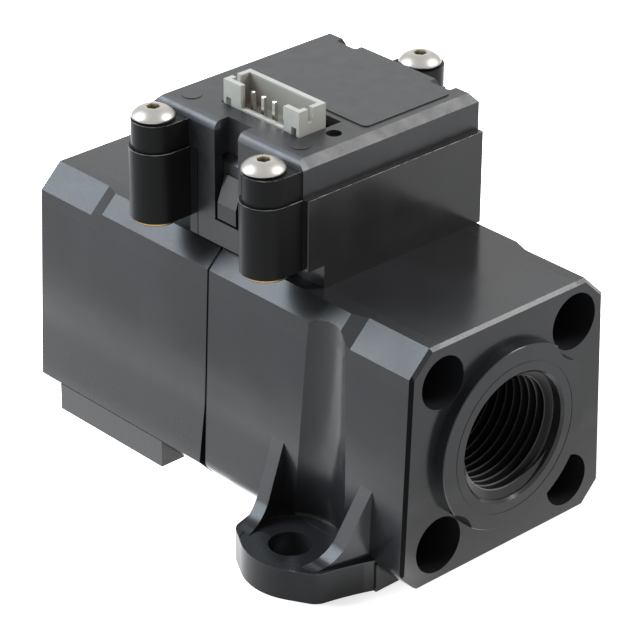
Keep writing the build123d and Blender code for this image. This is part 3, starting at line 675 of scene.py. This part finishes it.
def pipe_thread_tree():
    labels = ("Root radius", "Depth", "Pitch", "Turns", "Crest width", "Flank width", "Run-out")
    tree = Tree("pipe_thread", {label: "Float" for label in labels}, finishes["body_plastic"])
    root, depth, run_out = (tree.size(label) for label in ("Root radius", "Depth", "Run-out"))
    length = tree.math("MULTIPLY", tree.size("Pitch"), tree.size("Turns"))
    helix = tree.node("GeometryNodeCurveSpiral", Resolution=THREAD_TURN_STEPS,
                      Rotations=tree.size("Turns"), Start_Radius=root, End_Radius=root,
                      Height=length, Reverse=True)
    upright = tree.node("GeometryNodeSetCurveNormal", {"mode": "Z_UP"}, Curve=helix.outputs[0])
    ridge = tree.node("GeometryNodeCurvePrimitiveQuadrilateral", {"mode": "TRAPEZOID"},
                      Height=depth, Bottom_Width=tree.size("Flank width"),
                      Top_Width=tree.size("Crest width"), Offset=0.0)
    stand = tree.node("ShaderNodeCombineXYZ", Y=tree.math("MULTIPLY", depth, 0.5))
    lifted = tree.node("GeometryNodeSetPosition", Geometry=ridge.outputs[0],
                       Offset=stand.outputs[0])
    inward = tree.node("GeometryNodeTransform", Geometry=lifted.outputs[0],
                       Rotation=(0, 0, math.pi / 2))
    along = tree.node("GeometryNodeSplineParameter").outputs["Factor"]
    start = tree.math("DIVIDE", along, run_out)
    stop = tree.math("DIVIDE", tree.math("SUBTRACT", 1.0, along), run_out)
    fade = tree.chain("MINIMUM", (start, stop, 1.0))
    swept = tree.node("GeometryNodeCurveToMesh", Curve=upright.outputs[0],
                      Profile_Curve=inward.outputs[0],
                      Scale=tree.math("MAXIMUM", fade, THREAD_END_SHARE), Fill_Caps=True)
    tree.close(swept.outputs[0])
    return tree


def pipe_thread(name, tree, flip):
    holder = mesh_object(name + "_holder", [(0, 0, 0)], [])
    thread = tree.grow(name, holder, {
        "Root radius": THREAD_ROOT_R * MM, "Depth": THREAD_DEPTH * MM,
        "Pitch": THREAD_PITCH * MM, "Turns": THREAD_TURNS, "Crest width": THREAD_CREST * MM,
        "Flank width": THREAD_FLANK * MM, "Run-out": THREAD_RUN_OUT})
    inner_x = FACE_X - THREAD_START_DEPTH - THREAD_PITCH * THREAD_TURNS
    phase = math.radians(THREAD_START_TURN - 360 * THREAD_TURNS)
    to_port = Matrix(((0, 0, 1, 0), (1, 0, 0, 0), (0, 1, 0, 0), (0, 0, 0, 1)))
    place = Matrix.Translation((inner_x * MM, 0, BORE_Z * MM))
    thread.data.transform(place @ to_port @ Matrix.Rotation(phase, 4, "Z"))
    if flip:
        thread.data.transform(Matrix.Rotation(math.pi, 4, "Z"))
    turn_faces_out(thread.data)
    smooth_by_angle(thread.data, 20)
    dress(thread)


# Moulding flash: thin ragged threads of plastic left along a few sharp edges

def flash_tree():
    labels = ("Thickness", "Waver", "Point spacing", "Seed")
    tree = Tree("moulding_flash", {label: "Float" for label in labels},
                finishes["cover_plastic"])
    curve = tree.node("GeometryNodeMeshToCurve", Mesh=tree.size("Geometry"))
    even = tree.node("GeometryNodeResampleCurve", {"mode": "LENGTH"}, Curve=curve.outputs[0],
                     Length=tree.size("Point spacing"))
    ragged = tree.node("ShaderNodeTexNoise", {"noise_dimensions": "4D"}, W=tree.size("Seed"),
                       Scale=2200.0, Detail=3.0)
    centred = tree.node("ShaderNodeVectorMath", {"operation": "SUBTRACT"})
    tree.put(ragged.outputs["Color"], centred.inputs[0])
    tree.put((0.5, 0.5, 0.5), centred.inputs[1])
    scaled = tree.node("ShaderNodeVectorMath", {"operation": "SCALE"}, Scale=tree.size("Waver"))
    tree.put(centred.outputs[0], scaled.inputs[0])
    wavy = tree.node("GeometryNodeSetPosition", Geometry=even.outputs[0],
                     Offset=scaled.outputs[0])
    swell = tree.node("ShaderNodeTexNoise", {"noise_dimensions": "4D"}, W=tree.size("Seed"),
                      Scale=700.0, Detail=2.0)
    thick = tree.ramp(swell.outputs["Fac"], 0.42, 0.62, 0.4, 1.0)
    wire = tree.node("GeometryNodeCurvePrimitiveCircle", Resolution=5,
                     Radius=tree.size("Thickness"))
    swept = tree.node("GeometryNodeCurveToMesh", Curve=wavy.outputs[0],
                      Profile_Curve=wire.outputs[0], Scale=thick, Fill_Caps=True)
    tree.close(swept.outputs[0])
    return tree


def flash_lines(name, tree, lines, thickness, waver):
    points, edges = [], []
    for line in lines:
        edges += [(len(points) + k, len(points) + k + 1) for k in range(len(line) - 1)]
        points += line
    holder = mesh_object(name + "_path", points, [], edges=edges)
    made = tree.grow(name, holder, {
        "Thickness": thickness * MM, "Waver": waver * MM, "Point spacing": FLASH_SPACING * MM,
        "Seed": FLASH_SEED})
    turn_faces_out(made.data)
    mark(made.data, "flash", [1.0] * len(made.data.vertices))
    dress(made)


def boss_edges():
    """Round the front of each front boss and back along its side, at both of its steps."""
    lines = []
    for x in BOSS_X:
        for radius, z in BOSS_EDGES:
            turns = [math.radians(a) for a in BOSS_TURNS]
            line = [(x + radius * math.cos(a), BOSS_MIDDLE_Y + radius * math.sin(a), z)
                    for a in turns]
            lines.append(line + [(x + radius, y, z) for y in BOSS_SIDE_Y])
    return lines


def ear_edges():
    """The nose of the ear's top, taken from the outline on which the ear stands."""
    hole = Vector((EAR_HOLE_X, -EAR_HOLE_Y))
    found = set()
    for vertex in frame["nodes"]["outlet_body"].data.vertices:
        x, y, z = (c / MM for c in vertex.co)
        flat = Vector((x, y)) - hole
        if z < NEAR_FLOOR and y < EAR_NOSE_Y and flat.length > NOSE_HOLE_R:
            found.add((math.atan2(flat.y, flat.x), x, y))
    line = []
    for _, x, y in sorted(found):
        inward = (hole - Vector((x, y))).normalized() * EAR_EDGE_IN
        z = EAR_SEAT_FLASH_Z if EAR_SEAT_X[0] < x < EAR_SEAT_X[1] else EAR_FLASH_Z
        line.append((x + inward.x, y + inward.y, z))
    return [line]


button_head_screws()
connector_pins()
port_thread = pipe_thread_tree()
pipe_thread("outlet_thread", port_thread, False)
pipe_thread("inlet_thread", port_thread, True)
moulding_flash = flash_tree()
flash_lines("boss_flash", moulding_flash, boss_edges(), 0.055, 0.13)
flash_lines("ledge_flash", moulding_flash, [LEDGE_SIDE, LEDGE_FRONT], 0.06, 0.07)
flash_lines("ear_flash", moulding_flash, ear_edges(), 0.05, 0.12)


# Camera, lamps, floor and world

def photo_camera():
    """The photograph's camera, found by fitting the object's measured points."""
    focal_px, frame_px, sensor = 3246.3, 640, 36
    centre_px = frame_px / 2
    azimuth, elevation, roll = (math.radians(a) for a in (46.742, 28.359, 0.503))
    across_px, down_px, distance = 312.455, 331.923, 425.119
    back = Vector((math.sin(azimuth) * math.cos(elevation),
                   -math.cos(azimuth) * math.cos(elevation), math.sin(elevation)))
    right = Vector((0, 0, 1)).cross(back).normalized()
    up = back.cross(right)
    right, up = (math.cos(roll) * right + math.sin(roll) * up,
                 -math.sin(roll) * right + math.cos(roll) * up)
    aside = (across_px - centre_px) * distance / focal_px
    above = -(down_px - centre_px) * distance / focal_px
    place = (distance * back - aside * right - above * up + Vector((0, 0, BORE_Z))) * MM
    camera = bpy.data.cameras.new("camera")
    camera.sensor_width = sensor
    camera.lens = focal_px / frame_px * sensor
    camera.clip_start = 0.01
    obj = show("camera", camera)
    obj.matrix_world = Matrix((
        (right.x, up.x, back.x, place.x),
        (right.y, up.y, back.y, place.y),
        (right.z, up.z, back.z, place.z),
        (0, 0, 0, 1),
    ))
    bpy.context.scene.camera = obj


def soft_lamp(name, direction, distance, wide, high, level, colour):
    """A soft box in the given direction from the object; level 1 looks white in a mirror."""
    light = bpy.data.lights.new(name, "AREA")
    light.shape = "RECTANGLE"
    light.size = wide
    light.size_y = high
    light.energy = level * math.pi * wide * high
    light.color = colour
    obj = show(name, light)
    toward = Vector(direction).normalized()
    obj.location = Vector(LAMP_AIM) + toward * distance
    obj.rotation_mode = "QUATERNION"
    obj.rotation_quaternion = (-toward).to_track_quat("-Z", "Y")


def floor_pools(made, x, y):
    """Painted pools of light: brighter floor for the gloss of the sides, in front, beside the end,
    the rib and the foot.
    """
    front = made.product(made.ramp(x, 8.0, 26.0, 1.3, 0), made.ramp(y, -42.5, -40.0, 0, 1),
                         made.ramp(y, -39.5, -32.0, 1, 0.6))
    beside_end = made.product(made.ramp(x, 38.0, 54.0, 0.5, 0), made.ramp(x, 30.0, 36.0, 0, 1))
    beside_rib = made.product(made.ramp(x, 36.0, 40.0, 0, 1.6), made.ramp(x, 54.0, 64.0, 1, 0),
                              made.ramp(y, -32.0, -26.0, 0, 1), made.ramp(y, -12.0, -8.0, 1, 0))
    beside_foot = made.product(made.ramp(y, -25.0, -22.5, 0, 0.8),
                               made.math("LESS_THAN", x, 0.0))
    return made.chain("ADD", (front, beside_end, made.largest(beside_rib, beside_foot)))


def pale_floor():
    """A plain pale floor that looks white, and is left dark under the holes of the ears."""
    corners = [(-1, -1), (1, -1), (1, 1), (-1, 1)]
    floor = mesh_object("floor", [(x * FLOOR_HALF, y * FLOOR_HALF, 0) for x, y in corners],
                        [(0, 1, 2, 3)])
    made = Finish("floor")
    made.set(Base_Color=(FLOOR_GREY, FLOOR_GREY, FLOOR_GREY, 1), Roughness=0.9,
             Specular_IOR_Level=0.0, Emission_Color=(1, 1, 1, 1))
    x, y, _ = made.split_place()
    level = made.math("ADD", floor_pools(made, x, y), FLOOR_GLOW)
    open_floor = made.math("GREATER_THAN", off_ear_hole(made, x, y), FLOOR_HOLE_R)
    made.feed(made.product(made.seen_directly(), level, open_floor), "Emission Strength")
    floor.data.materials.append(made.material)


def studio_world():
    """White where it is seen, and a low even light on the object."""
    world = bpy.data.worlds.new("studio")
    bpy.context.scene.world = world
    world.use_nodes = True
    made = NodeMaker(world.node_tree)
    background = world.node_tree.nodes["Background"]
    made.put((1, 1, 1, 1), background.inputs["Color"])
    level = made.ramp(made.seen_directly(), 0.0, 1.0, WORLD_LIGHT, 1.0)
    made.put(level, background.inputs["Strength"])


photo_camera()
for name, values in LAMPS.items():
    soft_lamp(name, *values)
pale_floor()
studio_world()
bpy.context.scene.view_settings.view_transform = "Standard"
